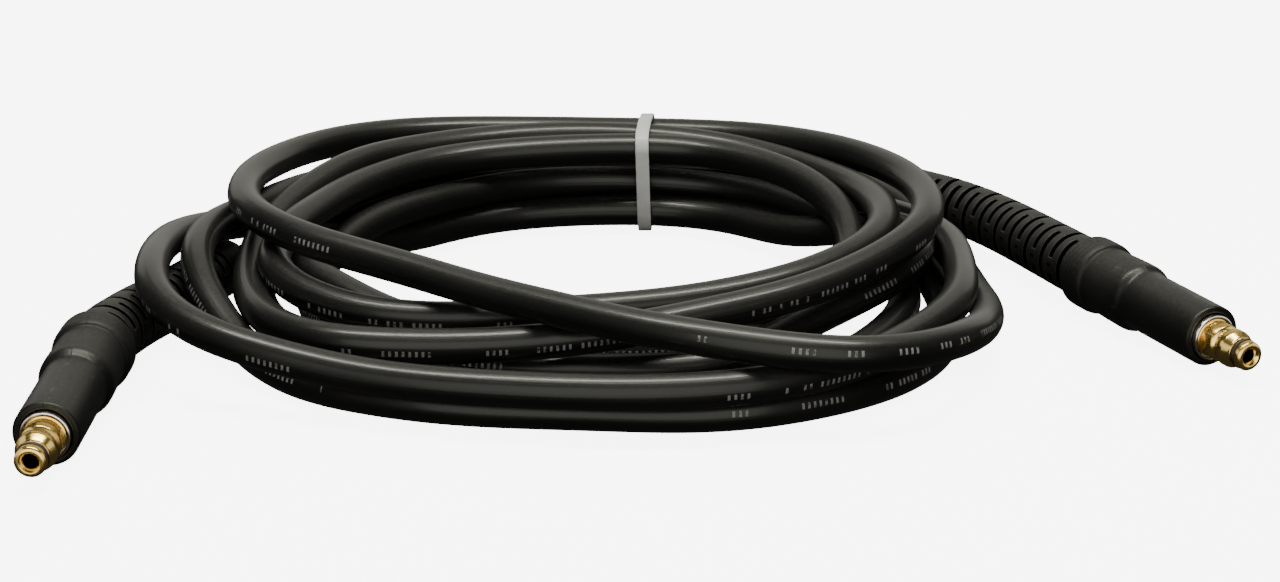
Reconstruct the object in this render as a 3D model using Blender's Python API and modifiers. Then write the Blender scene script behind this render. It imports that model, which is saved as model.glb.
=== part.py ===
"""High-pressure hose laid in a coil on the floor, tied once at the back, with a moulded kink guard,
crimp ferrule and push-in brass nipple at each end. Metres, Z up, the coil rests on z = 0."""

import math

import bmesh
import bpy
import numpy as np
from mathutils import Matrix, Vector

MM = 0.001
GAP = 0.3 * MM

# Hose section
HOSE_D = 11.0 * MM
HOSE_BORE = 6.0 * MM
HOSE_SIDES_RES = 2
HOSE_SIDES = 4 + 2 * HOSE_SIDES_RES

# Laying of the coil
LAY_STEP = 8.0 * MM
LAY_CLEARANCE = 0.6 * MM
LAY_ROUNDS = 300
FAIRING_ROUNDS = 12
HELD_POINTS = 10
FLOOR_CLEARANCE = 0.02 * MM
SAME_STRAND = 45.0 * MM
LOOP_STRIDE = 3
STRAIGHT_END = 14.0 * MM
BEND_BLEND = 42.0 * MM
FRAME_SHIFT = (-6.70 * MM, 37.35 * MM, 0.0)

# Stations measured along a connector from its tip face
NIPPLE_SHOWN = 19.2 * MM
GRIP_START = 19.8 * MM
HOSE_START = 23.2 * MM
NIPPLE_LENGTH = 53.0 * MM
FERRULE_START = 18.4 * MM
FERRULE_END = 45.0 * MM
GRIP_END = 55.4 * MM
BULGE_START = 77.2 * MM
AXIS_STATION = 85.0 * MM
SLOT_START = 89.5 * MM
GUARD_END = 196.0 * MM
BORE_EASE = 0.6 * MM
WIDE_FROM = 53.4 * MM
WIDE_TO = 96.0 * MM
RIB_MARGIN = 0.5 * MM

# Radii of the connector pieces
GRIP_R = 9.9 * MM
SHOULDER_R = 11.5 * MM
VALLEY_R = 11.2 * MM
BULGE_R = 12.4 * MM
RIB_R = 10.3 * MM
RIB_END_R = 9.5 * MM
FERRULE_R = 7.4 * MM
TIP_R = 4.75 * MM
SEAL_SEAT_R = 3.2 * MM
SEAL_WIRE_R = 0.72 * MM
SEAL_CENTRE = 3.55 * MM
BARREL_R = 6.1 * MM
NECK_R = 4.9 * MM
FLATS_R = 6.0 * MM
FLATS_HALF = 5.1 * MM
FLATS_MILL = (4.2 * MM, 6.0 * MM, 16.0 * MM)
FLATS_STATION = 15.4 * MM
FLANGE_R = 6.3 * MM
TAIL_R = 2.4 * MM
TAIL_BORE_R = 1.5 * MM
NIPPLE_BORE_R = 2.1 * MM
MOUTH_R = 3.0 * MM
TURN_STEPS = 24
SMALL_STEPS = 20

# Slots of the kink guard
SLOT_ROWS = 17
SLOT_PITCH = 5.5 * MM
SLOT_WIDTH = 2.2 * MM
SLOT_FLOOR_R = 7.1 * MM
SLOT_SWEEP = math.radians(146)

# Cable tie
TIE_WIDTH = 4.8 * MM
TIE_THICK = 1.3 * MM
TIE_HEAD = (6.0 * MM, 4.6 * MM, 7.6 * MM)
TIE_X = -5.2 * MM
TIE_EASE = 1.004
TIE_LIFT = TIE_THICK + GAP + 0.3 * MM
TIE_REACH = 28.0 * MM

# Connector axes: bulge centre and the direction towards the tip
LEFT_BULGE = (-166.6, -108.3, 14.3)
LEFT_AIM = (-4.4, -99.7, -6.5)
RIGHT_BULGE = (151.6, -23.2, 13.3)
RIGHT_AIM = (43.8, -89.8, -5.1)

# Where the centreline lies, in whole millimetres: one row for each turn, clockwise seen from above
ROUTE_ROWS = [
    [(-164, -88, 14), (-160, -71, 13), (-152, -53, 12), (-141, -28, 10), (-124, 16, 7), (-100, 50, 6),
     (-70, 74, 6), (-35, 89, 6), (0, 92, 6), (35, 87, 6), (66, 71, 9), (87, 43, 14), (98, 10, 17),
     (102, -20, 18), (101, -36, 18), (101, -53, 18), (99, -73, 18), (95, -83, 17), (89, -93, 16),
     (80, -105, 15), (66, -125, 14), (47, -138, 13), (29, -146, 13), (0, -150, 13), (-23, -148, 13),
     (-47, -144, 13), (-71, -138, 13), (-90, -131, 14), (-102, -128, 16), (-114, -122, 18),
     (-126, -119, 20), (-135, -113, 22), (-143, -104, 24), (-149, -92, 26), (-151, -79, 27),
     (-154, -56, 27), (-153, -31, 26), (-150, -7, 24)],
    [(-122, 42, 17), (-96, 72, 12), (-62, 93, 8), (-28, 103, 6), (0, 104, 6), (35, 101, 6),
     (68, 84, 6), (86, 56, 6), (92, 22, 6), (97, -16, 6), (98, -52, 6), (93, -84, 6), (80, -110, 6),
     (66, -124, 6), (41, -140, 6), (18, -146, 6), (0, -144, 6), (-24, -141, 6), (-53, -138, 6),
     (-78, -127, 6), (-104, -110, 7), (-125, -76, 12), (-132, -71, 17), (-138, -60, 21),
     (-142, -41, 22), (-143, -19, 22), (-140, 1, 21)],
    [(-118, 30, 21), (-94, 60, 20), (-62, 82, 18), (-28, 93, 18), (0, 94, 18), (35, 91, 18),
     (66, 78, 18), (91, 52, 14), (103, 22, 8), (109, -8, 6), (109, -32, 8), (111, -48, 10),
     (109, -70, 13), (106, -90, 16), (101, -108, 19), (94, -119, 20), (83, -133, 22), (71, -141, 23),
     (59, -145, 24), (47, -146, 25), (35, -144, 26), (18, -138, 27), (0, -131, 27), (-12, -122, 27),
     (-30, -112, 28), (-49, -99, 28), (-62, -90, 29), (-75, -80, 30), (-95, -69, 31), (-109, -59, 32),
     (-125, -36, 32), (-130, -23, 33), (-133, -8, 33), (-134, 10, 33), (-131, 26, 33), (-126, 48, 32),
     (-113, 75, 31)],
    [(-89, 96, 30), (-52, 108, 28), (-15, 106, 28), (22, 98, 29), (44, 88, 30), (72, 63, 32),
     (88, 35, 33), (95, 13, 33), (96, -15, 33), (92, -34, 32), (86, -49, 31), (77, -58, 29),
     (63, -72, 26), (47, -84, 24), (25, -94, 22), (6, -101, 20), (-12, -109, 19), (-27, -112, 18),
     (-43, -114, 17), (-73, -117, 17), (-91, -115, 17), (-104, -108, 16), (-115, -91, 15),
     (-123, -69, 14), (-127, -46, 13)],
    [(-126, -8, 17), (-118, 18, 21), (-106, 40, 25), (-78, 68, 28), (-40, 87, 30), (0, 92, 30),
     (35, 88, 28), (58, 68, 26), (73, 41, 26), (82, 3, 27), (78, -26, 26), (65, -47, 24),
     (51, -59, 22), (32, -69, 20), (19, -74, 19), (3, -79, 18), (-25, -83, 17), (-50, -89, 17),
     (-72, -90, 17), (-88, -85, 17), (-101, -77, 18), (-113, -71, 20), (-121, -59, 22),
     (-125, -43, 23)],
    [(-119, -5, 23), (-114, 11, 25), (-105, 37, 27), (-86, 60, 28), (-51, 72, 29), (0, 80, 29),
     (22, 76, 29), (43, 61, 29), (60, 45, 27), (72, 24, 23), (75, 4, 17), (72, -14, 12), (62, -38, 8),
     (48, -58, 6), (28, -74, 6), (0, -88, 6), (-40, -84, 6), (-85, -64, 6), (-112, -36, 10),
     (-122, -10, 14)],
    [(-116, 14, 12), (-100, 30, 8), (-91, 31, 6), (-82, 42, 6), (-65, 61, 6), (-41, 73, 6), (0, 77, 6),
     (36, 66, 6), (60, 34, 8), (82, 28, 13), (98, 6, 18), (97, -20, 19), (91, -38, 18), (83, -50, 17),
     (75, -58, 16), (68, -60, 13), (58, -70, 12), (51, -74, 10), (41, -81, 8), (30, -98, 6),
     (0, -103, 6), (-40, -101, 6), (-78, -84, 6), (-112, -34, 6), (-115, -15, 10)],
    [(-110, 8, 16), (-101, 20, 18), (-85, 42, 18), (-58, 68, 18), (-29, 81, 18), (0, 84, 18),
     (29, 78, 18), (54, 60, 18), (74, 38, 14), (85, 8, 8), (90, -22, 6), (83, -54, 6), (66, -88, 6),
     (40, -116, 6), (0, -124, 6), (-45, -120, 6), (-85, -101, 6), (-115, -70, 8), (-131, -40, 11),
     (-134, -8, 14)],
    [(-126, 24, 19), (-106, 58, 22), (-72, 88, 21), (-30, 104, 18), (0, 106, 18), (35, 104, 17),
     (70, 90, 16), (92, 77, 15), (110, 60, 15), (119, 50, 14), (130, 28, 14), (138, 8, 14)],
]

# How far each turn gives way to the others where they would touch
ROUTE_GIVE = (0.5, 1.0, 0.3, 0.3, 0.4, 1.0, 0.4, 1.0, 1.0)


def axis_point(bulge, aim, station):
    """Point on a connector's straight axis, station metres from its tip face."""
    aim = np.array(aim) / np.linalg.norm(aim)
    return np.array(bulge) * MM + np.array(FRAME_SHIFT) + aim * (AXIS_STATION - station)


def spline(points, step):
    """Centripetal curve through the points, at even steps."""
    p = np.asarray(points, float)
    p = np.vstack([2 * p[0] - p[1], p, 2 * p[-1] - p[-2]])
    pieces = []
    for p0, p1, p2, p3 in zip(p, p[1:], p[2:], p[3:]):
        k0, k1, k2 = (np.linalg.norm(b - a) ** 0.5 for a, b in ((p0, p1), (p1, p2), (p2, p3)))
        t1, t2, t3 = k0, k0 + k1, k0 + k1 + k2
        t = np.linspace(t1, t2, 40, endpoint=False)[:, None]
        a1 = ((t1 - t) * p0 + t * p1) / t1
        a2 = ((t2 - t) * p1 + (t - t1) * p2) / (t2 - t1)
        a3 = ((t3 - t) * p2 + (t - t2) * p3) / (t3 - t2)
        b1 = ((t2 - t) * a1 + t * a2) / t2
        b2 = ((t3 - t) * a2 + (t - t1) * a3) / (t3 - t1)
        pieces.append(((t2 - t) * b1 + (t - t1) * b2) / (t2 - t1))
    return resample(np.vstack(pieces + [p[-2][None]]), step)


def resample(line, step):
    along = arc_length(line)
    even = np.linspace(0, along[-1], int(round(along[-1] / step)) + 1)
    return np.stack([np.interp(even, along, line[:, k]) for k in range(3)], -1)


def arc_length(line):
    return np.concatenate([[0], np.cumsum(np.linalg.norm(np.diff(line, axis=0), axis=1))])


def blur(values, passes):
    """Three-point averages along the line, ends held."""
    for _ in range(passes):
        values = np.vstack([values[:1], (values[:-2] + 2 * values[1:-1] + values[2:]) / 4, values[-1:]])
    return values


def ease_apart(line, radius, give):
    """Moves the turns off each other and off the floor until they clear, and keeps each one smooth."""
    base = line.copy()
    widest = np.max([np.roll(radius, k) for k in range(-2, 3)], axis=0)
    floor = np.maximum(radius, blur(widest[:, None], FAIRING_ROUNDS)[:, 0]) + FLOOR_CLEARANCE
    floor[:HELD_POINTS - 4] = floor[4 - HELD_POINTS:] = 0
    apart = int(SAME_STRAND / LAY_STEP)
    free = np.ones((len(line), 1))
    free[:HELD_POINTS] = free[-HELD_POINTS:] = 0
    free = blur(free, 6)
    for turn in range(LAY_ROUNDS):
        if turn % 6 == 0:
            near = ((line[:, None] - line[None]) ** 2).sum(-1) < (2 * radius.max() + 4 * MM) ** 2
            i, j = np.where(np.triu(near, apart))
        between = line[i] - line[j]
        distance = np.sqrt((between ** 2).sum(-1)) + 1e-12
        over = np.maximum(0, radius[i] + radius[j] + LAY_CLEARANCE - distance)
        push = between * (over / distance / (give[i] + give[j]))[:, None]
        total = np.zeros_like(line)
        count = np.zeros(len(line))
        np.add.at(total, i, push * give[i, None])
        np.add.at(total, j, -push * give[j, None])
        np.add.at(count, i, over > 0)
        np.add.at(count, j, over > 0)
        move = total / np.maximum(1, count)[:, None] ** 0.6
        shift = line + blur(move, 6) * 1.5 * free - base
        if turn < LAY_ROUNDS * 0.75:
            shift = blur(shift, 2) * 0.998 * free
        line = base + shift
        at_tie = np.exp(-((line[:, 0] - TIE_X) / TIE_REACH) ** 2) * (line[:, 1] > FRAME_SHIFT[1])
        line[:, 2] = np.maximum(line[:, 2], floor + TIE_LIFT * at_tie)
    return line


def guard_radius(station):
    """Outside radius of the kink guard, or of the bare hose, at a distance from the tip face."""
    rib = RIB_R + RIB_MARGIN + (RIB_END_R - RIB_R) * (station - WIDE_TO) / (GUARD_END - WIDE_TO)
    outside = np.where(station < WIDE_FROM, GRIP_R, np.where(station < WIDE_TO, BULGE_R, rib))
    return np.where(station < GUARD_END, outside, HOSE_D / 2)


def hose_centreline():
    """Even points along the hose from its left end to its right end."""
    shift = np.array(FRAME_SHIFT)
    straight = [HOSE_START + k * (AXIS_STATION - HOSE_START) / 4 for k in range(5)]
    stations = [axis_point(LEFT_BULGE, LEFT_AIM, s) for s in straight]
    stations += [np.array(p) * MM + shift for row in ROUTE_ROWS for p in row]
    stations += [axis_point(RIGHT_BULGE, RIGHT_AIM, s) for s in reversed(straight)]
    ease = [1.0] * 5 + [g for row, g in zip(ROUTE_ROWS, ROUTE_GIVE) for _ in row] + [1.0] * 5
    chord = arc_length(np.array(stations))
    line = spline(stations, LAY_STEP)
    low = blur(line, FAIRING_ROUNDS)
    line = 2 * low - blur(low, FAIRING_ROUNDS)
    along = arc_length(line)
    for reach, bulge, aim in ((along, LEFT_BULGE, LEFT_AIM), (along[-1] - along, RIGHT_BULGE, RIGHT_AIM)):
        station = reach + HOSE_START
        on_axis = np.array([axis_point(bulge, aim, s) for s in station])
        bent = np.clip((station - AXIS_STATION + STRAIGHT_END) / BEND_BLEND, 0, 1)[:, None]
        bent = bent * bent * (3 - 2 * bent)
        line = bent * line + (1 - bent) * on_axis
    along = arc_length(line)
    radius = np.maximum(guard_radius(along + HOSE_START), guard_radius(along[-1] - along + HOSE_START))
    give = np.interp(along / along[-1], chord / chord[-1], ease)
    return ease_apart(line, radius, give)


def new_collection(name, hidden):
    collection = bpy.data.collections.new(name)
    bpy.context.scene.collection.children.link(collection)
    collection.hide_render = hidden
    return collection


def link(obj, collection):
    for other in list(obj.users_collection):
        other.objects.unlink(obj)
    collection.objects.link(obj)
    return obj


def material(name, colour, roughness, metallic):
    made = bpy.data.materials.new(name)
    made.use_nodes = True
    shader = made.node_tree.nodes["Principled BSDF"]
    shader.inputs["Base Color"].default_value = (*colour, 1)
    shader.inputs["Roughness"].default_value = roughness
    shader.inputs["Metallic"].default_value = metallic
    made.diffuse_color = (*colour, 1)
    return made


def mesh_object(name, mesh, collection, slot=None):
    obj = bpy.data.objects.new(name, mesh)
    if slot:
        mesh.materials.append(slot)
    collection.objects.link(obj)
    return obj


def turned(name, profile, steps, collection, slot):
    """A piece turned about its own X axis from (station, radius) points."""
    shape = bmesh.new()
    verts = [shape.verts.new((x, r, 0)) for x, r in profile]
    for a, b in zip(verts, verts[1:]):
        shape.edges.new((a, b))
    mesh = bpy.data.meshes.new(name)
    shape.to_mesh(mesh)
    shape.free()
    obj = mesh_object(name, mesh, collection, slot)
    screw = obj.modifiers.new("turn", "SCREW")
    screw.axis = "X"
    screw.steps = screw.render_steps = steps
    screw.use_merge_vertices = True
    screw.merge_threshold = 0.0001
    screw.use_smooth_shade = True
    screw.use_normal_calculate = True
    return obj


def poly_curve(name, points, collection):
    curve = bpy.data.curves.new(name, "CURVE")
    curve.dimensions = "3D"
    curve.twist_mode = "MINIMUM"
    spline_data = curve.splines.new("POLY")
    spline_data.points.add(len(points) - 1)
    for point, place in zip(spline_data.points, points):
        point.co = (*place, 1)
    obj = bpy.data.objects.new(name, curve)
    collection.objects.link(obj)
    return obj


def place_on_axis(obj, bulge, aim):
    """Puts a piece turned about X with its station 0 at the tip face, running back along the axis."""
    back = -Vector(aim).normalized()
    side = Vector((0, 0, 1)).cross(back).normalized()
    up = back.cross(side)
    turn = Matrix((back, side, up)).transposed().to_4x4()
    obj.matrix_world = Matrix.Translation(Vector(axis_point(bulge, aim, 0))) @ turn


def sparse(line):
    """Fewer points round the loops, all of them where the hose runs inside the kink guards."""
    ends = int(GUARD_END / LAY_STEP)
    keep = list(range(ends)) + list(range(ends, len(line) - ends, LOOP_STRIDE))
    return line[keep + list(range(len(line) - ends, len(line)))]


def make_hose(points, parts, slot):
    """The whole hose as one open tube wall."""
    obj = poly_curve("hose", points, parts)
    obj.data.bevel_depth = HOSE_D / 2
    obj.data.bevel_resolution = HOSE_SIDES_RES
    obj.data.fill_mode = "FULL"
    obj.data.materials.append(slot)
    wall = obj.modifiers.new("wall", "SOLIDIFY")
    wall.thickness = (HOSE_D - HOSE_BORE) / 2 * math.cos(math.pi / HOSE_SIDES)
    wall.offset = -1
    wall.use_even_offset = True
    return obj


def guard_profile():
    inner = HOSE_D / 2 + BORE_EASE
    sleeve = FERRULE_R + GAP
    return [
        (GRIP_START, sleeve),
        (FERRULE_END + GAP, sleeve),
        (FERRULE_END + GAP, inner),
        *[(FERRULE_END + (GUARD_END - FERRULE_END) * k / 14, inner) for k in range(1, 14)],
        (GUARD_END, inner),
        (GUARD_END, RIB_END_R - 1.2 * MM),
        (GUARD_END - 1.2 * MM, RIB_END_R),
        *[(SLOT_START + (GUARD_END - SLOT_START) * k / 10, RIB_R + (RIB_END_R - RIB_R) * k / 10)
          for k in range(9, 0, -1)],
        (SLOT_START - 0.8 * MM, RIB_R),
        (SLOT_START - 2.4 * MM, BULGE_R - 0.5 * MM),
        (SLOT_START - 4.0 * MM, BULGE_R),
        (BULGE_START + 2.6 * MM, BULGE_R),
        (BULGE_START + 0.9 * MM, BULGE_R - 0.4 * MM),
        (BULGE_START, VALLEY_R),
        (GRIP_END + 12.0 * MM, SHOULDER_R - 0.1 * MM),
        (GRIP_END + 4.0 * MM, SHOULDER_R),
        (GRIP_END + 2.2 * MM, SHOULDER_R - 0.4 * MM),
        (GRIP_END, GRIP_R),
        (GRIP_START + 0.8 * MM, GRIP_R),
        (GRIP_START, GRIP_R - 0.8 * MM),
    ]


def slot_cutters(name, guides):
    """Ring sectors, two in a row and turned a quarter from row to row."""
    shape = bmesh.new()
    outer = BULGE_R + 3 * MM
    for row in range(SLOT_ROWS):
        x = SLOT_START + 2.4 * MM + row * SLOT_PITCH
        for half in range(2):
            start = math.pi / 2 * (row % 2) + math.pi * half - SLOT_SWEEP / 2
            made = bmesh.ops.create_grid(shape, x_segments=1, y_segments=1, size=0.5)
            for vert in made["verts"]:
                vert.co = Vector((x + vert.co.x * SLOT_WIDTH, SLOT_FLOOR_R + (vert.co.y + 0.5)
                                  * (outer - SLOT_FLOOR_R), 0))
            bmesh.ops.rotate(shape, verts=made["verts"], cent=(0, 0, 0),
                             matrix=Matrix.Rotation(start, 3, "X"))
            faces = list({face for vert in made["verts"] for face in vert.link_faces})
            edges = list({edge for vert in made["verts"] for edge in vert.link_edges})
            bmesh.ops.spin(shape, geom=made["verts"] + edges + faces, cent=(0, 0, 0), axis=(1, 0, 0),
                           angle=SLOT_SWEEP, steps=6, use_duplicate=False)
    bmesh.ops.recalc_face_normals(shape, faces=shape.faces)
    mesh = bpy.data.meshes.new(name)
    shape.to_mesh(mesh)
    shape.free()
    return mesh_object(name, mesh, guides)


def make_guard(name, path, parts, guides, slot):
    """The moulded guard, turned straight, slotted, then bent along the hose."""
    profile = guard_profile()
    obj = turned(name, profile + profile[:1], TURN_STEPS, parts, slot)
    cutter = slot_cutters(name + "_slots", guides)
    cutter.display_type = "WIRE"
    cut = obj.modifiers.new("slots", "BOOLEAN")
    cut.operation = "DIFFERENCE"
    cut.solver = "EXACT"
    cut.object = cutter
    guide = poly_curve(name + "_guide", path, guides)
    guide.display_type = "WIRE"
    guide.data.use_path = True
    bend = obj.modifiers.new("bend", "CURVE")
    bend.object = guide
    bend.deform_axis = "POS_X"
    return obj


def make_ferrule(name, bulge, aim, parts, slot):
    """Crimp sleeve over the hose end, open at the front for the nipple's flange."""
    inner = HOSE_D / 2 + GAP + 0.05 * MM
    mouth = FLANGE_R + GAP
    profile = [
        (FERRULE_START, mouth),
        (NIPPLE_SHOWN + 1.4 * MM, mouth),
        (NIPPLE_SHOWN + 1.4 * MM, inner),
        (FERRULE_END, inner),
        (FERRULE_END, FERRULE_R - 0.5 * MM),
        (FERRULE_END - 0.5 * MM, FERRULE_R),
        (FERRULE_START + 0.4 * MM, FERRULE_R),
        (FERRULE_START, FERRULE_R - 0.4 * MM),
    ]
    obj = turned(name, profile + profile[:1], TURN_STEPS, parts, slot)
    place_on_axis(obj, bulge, aim)
    return obj


def make_nipple(name, bulge, aim, parts, guides, slot):
    """Push-in nipple turned from bar, with a seal groove, a pair of flats and a tail for the hose."""
    profile = [
        (1.0 * MM, NIPPLE_BORE_R),
        (NIPPLE_SHOWN, NIPPLE_BORE_R),
        (NIPPLE_SHOWN + 1.0 * MM, TAIL_BORE_R),
        (NIPPLE_LENGTH, TAIL_BORE_R),
        (NIPPLE_LENGTH, TAIL_R),
        (NIPPLE_SHOWN + 1.0 * MM, TAIL_R),
        (NIPPLE_SHOWN + 1.0 * MM, FLANGE_R),
        (NIPPLE_SHOWN - 0.6 * MM, FLANGE_R),
        (NIPPLE_SHOWN - 1.0 * MM, FLATS_R),
        (12.4 * MM, FLATS_R),
        (12.0 * MM, NECK_R),
        (10.8 * MM, NECK_R),
        (10.0 * MM, BARREL_R),
        (7.4 * MM, BARREL_R),
        (5.2 * MM, TIP_R),
        (4.6 * MM, TIP_R),
        (4.6 * MM, SEAL_SEAT_R),
        (2.5 * MM, SEAL_SEAT_R),
        (2.5 * MM, TIP_R),
        (0.8 * MM, TIP_R),
        (0.2 * MM, TIP_R - 0.35 * MM),
        (0, TIP_R - 0.8 * MM),
        (0, MOUTH_R),
    ]
    obj = turned(name, profile + profile[:1], SMALL_STEPS, parts, slot)
    bpy.ops.mesh.primitive_cube_add(size=1)
    cutter = link(bpy.context.object, guides)
    cutter.name = name + "_flats"
    cutter.data.transform(Matrix.Diagonal((*FLATS_MILL, 1)))
    cutter.data.transform(Matrix.Translation((FLATS_STATION, FLATS_HALF + FLATS_MILL[1] / 2, 0)))
    cutter.display_type = "WIRE"
    mirror = cutter.modifiers.new("both sides", "MIRROR")
    mirror.use_axis = (False, True, False)
    cut = obj.modifiers.new("flats", "BOOLEAN")
    cut.operation = "DIFFERENCE"
    cut.solver = "EXACT"
    cut.object = cutter
    place_on_axis(obj, bulge, aim)
    cutter.parent = obj
    return obj


def make_seal(name, bulge, aim, parts, slot):
    """Round-section seal ring, free in its groove."""
    wire_path_r = SEAL_SEAT_R + GAP + SEAL_WIRE_R
    turns = [k * math.pi / 4 for k in range(9)]
    ring = [(SEAL_CENTRE + SEAL_WIRE_R * math.cos(t), wire_path_r + SEAL_WIRE_R * math.sin(t)) for t in turns]
    obj = turned(name, ring, SMALL_STEPS, parts, slot)
    place_on_axis(obj, bulge, aim)
    return obj


def hull(points):
    """Corners of the smallest convex outline round 2-D points."""
    points = sorted(map(tuple, points))
    outline = []
    for ordered in (points, points[::-1]):
        side = []
        for p in ordered:
            while len(side) > 1 and ((side[-1][0] - side[-2][0]) * (p[1] - side[-2][1])
                                     - (side[-1][1] - side[-2][1]) * (p[0] - side[-2][0])) <= 0:
                side.pop()
            side.append(p)
        outline += side[:-1]
    return outline


def make_tie(points, parts, guides, slot):
    """Cable tie drawn round the bundle at the back, its head against the outer turns."""
    reach = (HOSE_D / 2 + GAP + TIE_THICK / 2) * TIE_EASE
    crossing = [(a + (b - a) * (x - a[0]) / (b[0] - a[0]))
                for x in (TIE_X - TIE_WIDTH / 2, TIE_X, TIE_X + TIE_WIDTH / 2)
                for a, b in zip(points, points[1:])
                if (a[0] - x) * (b[0] - x) < 0 and a[1] > FRAME_SHIFT[1]]
    turns = [k * math.pi / 8 for k in range(16)]
    rounded = [(p[1] + reach * math.cos(t), p[2] + reach * math.sin(t)) for p in crossing for t in turns]
    outline = hull(rounded)
    centre = np.mean(outline, axis=0)
    shape = bmesh.new()
    verts = [shape.verts.new((TIE_X - TIE_WIDTH / 2, y, z)) for y, z in outline]
    edges = [shape.edges.new((a, b)) for a, b in zip(verts, verts[1:] + verts[:1])]
    side = bmesh.ops.extrude_edge_only(shape, edges=edges)
    bmesh.ops.translate(shape, vec=(TIE_WIDTH, 0, 0),
                        verts=[g for g in side["geom"] if isinstance(g, bmesh.types.BMVert)])
    bmesh.ops.recalc_face_normals(shape, faces=shape.faces)
    mesh = bpy.data.meshes.new("cable_tie")
    shape.to_mesh(mesh)
    shape.free()
    obj = mesh_object("cable_tie", mesh, parts, slot)
    band = obj.modifiers.new("band", "SOLIDIFY")
    band.thickness = TIE_THICK
    band.offset = 0
    back = max(y for y, z in outline)
    bpy.ops.mesh.primitive_cube_add(size=1)
    head = link(bpy.context.object, guides)
    head.name = "cable_tie_head"
    head.data.transform(Matrix.Diagonal((*TIE_HEAD, 1)))
    head.data.transform(Matrix.Translation((TIE_X, back + TIE_HEAD[1] / 2 - TIE_THICK / 4, centre[1])))
    head.display_type = "WIRE"
    join = obj.modifiers.new("head", "BOOLEAN")
    join.operation = "UNION"
    join.solver = "EXACT"
    join.object = head
    return obj


def guard_path(line, bulge, aim):
    """Guide from the tip face along the connector's axis and on along the hose."""
    start = [axis_point(bulge, aim, HOSE_START * k / 4) for k in range(4)]
    return resample(np.vstack([start, line[:int(1.2 * GUARD_END / LAY_STEP)]]), 4 * MM)


def build():
    for obj in list(bpy.data.objects):
        bpy.data.objects.remove(obj, do_unlink=True)
    parts = new_collection("pressure_washer_hose", False)
    guides = new_collection("guides", True)
    black_hose = material("hose_black", (0.03, 0.03, 0.028), 0.38, 0)
    guard_rubber = material("guard_rubber", (0.022, 0.022, 0.021), 0.62, 0)
    nickel = material("ferrule_nickel", (0.75, 0.74, 0.7), 0.22, 1)
    brass = material("nipple_brass", (0.83, 0.6, 0.27), 0.24, 1)
    seal_rubber = material("seal_rubber", (0.035, 0.02, 0.015), 0.5, 0)
    tie_nylon = material("tie_nylon", (0.72, 0.72, 0.69), 0.45, 0)
    line = hose_centreline()
    make_hose(sparse(line), parts, black_hose)
    for side, run, bulge, aim in (("left", line, LEFT_BULGE, LEFT_AIM),
                                  ("right", line[::-1], RIGHT_BULGE, RIGHT_AIM)):
        make_guard("kink_guard_" + side, guard_path(run, bulge, aim), parts, guides, guard_rubber)
        make_ferrule("ferrule_" + side, bulge, aim, parts, nickel)
        make_nipple("nipple_" + side, bulge, aim, parts, guides, brass)
        make_seal("seal_ring_" + side, bulge, aim, parts, seal_rubber)
    make_tie(sparse(line), parts, guides, tie_nylon)


build()
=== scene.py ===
"""Looks of the coiled pressure washer hose: rubber hose, kink guards, ferrules, brass nipples,
seal rings and cable tie, with the stage they are shown on. Metres, in the frame of the CAD."""

import math

import bpy
import numpy as np
from mathutils import Matrix, Vector


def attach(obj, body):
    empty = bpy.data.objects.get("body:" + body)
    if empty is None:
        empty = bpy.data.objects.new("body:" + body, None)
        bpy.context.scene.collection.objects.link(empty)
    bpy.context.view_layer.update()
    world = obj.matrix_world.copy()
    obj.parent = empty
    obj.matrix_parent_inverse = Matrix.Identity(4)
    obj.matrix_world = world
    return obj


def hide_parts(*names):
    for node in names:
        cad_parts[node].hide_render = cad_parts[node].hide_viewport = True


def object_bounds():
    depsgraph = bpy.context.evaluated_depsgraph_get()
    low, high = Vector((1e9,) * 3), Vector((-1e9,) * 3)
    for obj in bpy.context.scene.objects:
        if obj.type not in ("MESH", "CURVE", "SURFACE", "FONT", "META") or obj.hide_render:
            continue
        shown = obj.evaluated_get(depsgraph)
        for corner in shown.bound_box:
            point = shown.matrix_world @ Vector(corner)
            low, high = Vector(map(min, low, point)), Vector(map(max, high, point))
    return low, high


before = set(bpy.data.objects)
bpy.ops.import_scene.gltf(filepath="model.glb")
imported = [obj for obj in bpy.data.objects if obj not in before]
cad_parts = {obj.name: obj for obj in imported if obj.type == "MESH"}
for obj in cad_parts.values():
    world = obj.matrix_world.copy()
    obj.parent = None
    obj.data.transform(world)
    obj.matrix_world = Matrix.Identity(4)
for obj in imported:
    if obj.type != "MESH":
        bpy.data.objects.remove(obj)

bl_info = {
    "name": "Pressure Washer Hose",
    "version": (1, 0, 0),
    "blender": (4, 5, 0),
    "location": "View3D > Sidebar > Hose",
    "description": "Coiled high-pressure hose with kink guards, brass nipples and a cable tie",
    "category": "Object",
}

CAD_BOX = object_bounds()
MM = 0.001
GAP = 0.3 * MM
ENDS = ("left", "right")

# Laying of the coil, with the values of the CAD
HOSE_D = 11.0 * MM
HOSE_BORE = 6.0 * MM
LAY_STEP = 8.0 * MM
LAY_CLEARANCE = 0.6 * MM
LAY_ROUNDS = 300
FAIRING_ROUNDS = 12
HELD_POINTS = 10
FLOOR_CLEARANCE = 0.02 * MM
SAME_STRAND = 45.0 * MM
LOOP_STRIDE = 3
STRAIGHT_END = 14.0 * MM
BEND_BLEND = 42.0 * MM
FRAME_SHIFT = (-6.70 * MM, 37.35 * MM, 0.0)
RING_STEP = 4.0 * MM
CRINKLED = np.array((111.1, -48.3, 10.0)) * MM + np.array(FRAME_SHIFT)

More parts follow.
